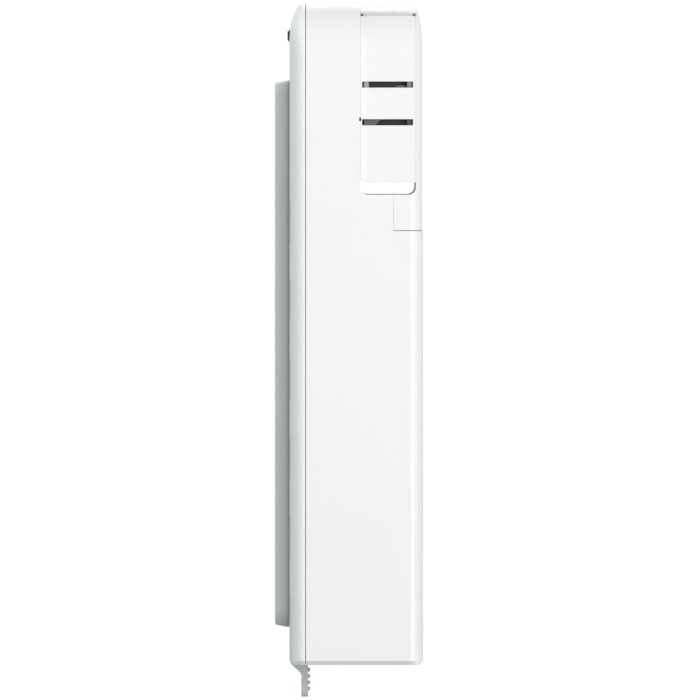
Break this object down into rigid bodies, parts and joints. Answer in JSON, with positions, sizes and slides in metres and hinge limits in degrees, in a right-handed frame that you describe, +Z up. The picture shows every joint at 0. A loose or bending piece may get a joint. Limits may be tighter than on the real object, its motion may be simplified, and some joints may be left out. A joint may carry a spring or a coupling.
{
  "type": "wall battery unit",
  "caption": "Wall-hung home battery: wall plate, tinted rear shell, white housing, louvred side flaps, lift-off wiring cover and a ribbed release lever underneath.",
  "frame": {"origin": "middle of the wall plate's flat back face, the plane of the wall", "axes": "+Z up, +Y into the wall, -Y out into the room, X across the unit; the louvred flap with the isolator behind it is on the -X side"},
  "size_m": [0.56, 0.2082, 0.9779],
  "materials": {
    "white_shell": "satin white, fine moulded texture",
    "rear_paint": "satin paint with a faint green tint",
    "plate_paint": "satin light grey powder coat",
    "lever_plastic": "light grey moulded plastic",
    "seal_rubber": "dark grey, matt",
    "black_plastic": "black moulded plastic",
    "dark_plastic": "dark grey moulded plastic",
    "red_plastic": "glossy red",
    "light_pipe": "pale translucent",
    "zinc_steel": "zinc plated sheet",
    "bright_steel": "bright turned steel",
    "cell_can": "aluminium can in a blue film",
    "bare_aluminium": "bare, lightly brushed",
    "copper_alloy": "copper and brass, lightly tarnished",
    "board_green": "green solder mask",
    "fuse_ceramic": "glazed, off-white"
  },
  "bodies": {
    "unit": {"ac_terminals": "dark_plastic", "bms_board": "board_green", "case_screw_left": "bright_steel", "case_screw_right": "bright_steel", "case_seal": "seal_rubber", "cell_01": "cell_can", "cell_02": "cell_can", "cell_03": "cell_can", "cell_04": "cell_can", "cell_05": "cell_can", "cell_06": "cell_can", "cell_07": "cell_can", "cell_08": "cell_can", "cell_09": "cell_can", "cell_10": "cell_can", "cell_11": "cell_can", "cell_12": "cell_can", "cell_13": "cell_can", "cell_14": "cell_can", "cell_15": "cell_can", "cell_16": "cell_can", "chassis": "zinc_steel", "cover_screw_left": "bright_steel", "cover_screw_right": "bright_steel", "earth_bar": "copper_alloy", "filter_choke": "copper_alloy", "hanger_hook_left": "zinc_steel", "hanger_hook_right": "zinc_steel", "heat_sink": "bare_aluminium", "inverter_board": "board_green", "isolator_body": "black_plastic", "left_flap_pin": "bright_steel", "left_hinge_rail": "dark_plastic", "lever_pin": "bright_steel", "lever_spring": "bright_steel", "lower_contact_board": "copper_alloy", "lower_end_plate_left": "bare_aluminium", "lower_end_plate_right": "bare_aluminium", "main_contactor": "black_plastic", "main_fuse": "fuse_ceramic", "main_housing": "white_shell", "port_panel": "black_plastic", "rear_plug_left": "seal_rubber", "rear_plug_right": "seal_rubber", "rear_shell": "rear_paint", "right_flap_pin": "bright_steel", "right_hinge_rail": "dark_plastic", "switch_plate": "black_plastic", "upper_contact_board": "copper_alloy", "upper_end_plate_left": "bare_aluminium", "upper_end_plate_right": "bare_aluminium", "wall_plate": "plate_paint", "wiring_tray": "zinc_steel"},
    "upper_cover": {"upper_cover": "white_shell", "status_light": "light_pipe"},
    "left_flap": {"left_flap": "white_shell"},
    "right_flap": {"right_flap": "white_shell"},
    "release_lever": {"release_lever": "lever_plastic"},
    "isolator_knob": {"isolator_knob": "dark_plastic"},
    "power_button": {"power_button": "red_plastic"}
  },
  "joints": [
    {"name": "cover_lift_off", "type": "slide", "parent": "unit", "child": "upper_cover", "axis": [0, -1, 0], "range_m": [0, 0.06]},
    {"name": "left_flap_swing", "type": "hinge", "parent": "unit", "child": "left_flap", "pos_m": [-0.24425, -0.1587, 0.47354], "axis": [0, 1, 0], "range_deg": [0, 90]},
    {"name": "right_flap_swing", "type": "hinge", "parent": "unit", "child": "right_flap", "pos_m": [0.24425, -0.1587, 0.47354], "axis": [0, -1, 0], "range_deg": [0, 90]},
    {"name": "lever_release", "type": "hinge", "parent": "unit", "child": "release_lever", "pos_m": [0, -0.028, -0.4212], "axis": [1, 0, 0], "range_deg": [0, 6]},
    {"name": "isolator_turn", "type": "hinge", "parent": "unit", "child": "isolator_knob", "pos_m": [-0.257, -0.177, 0.3582], "axis": [1, 0, 0], "range_deg": [0, 90]},
    {"name": "power_button_press", "type": "slide", "parent": "unit", "child": "power_button", "axis": [1, 0, 0], "range_m": [0, 0.0025]}
  ]
}
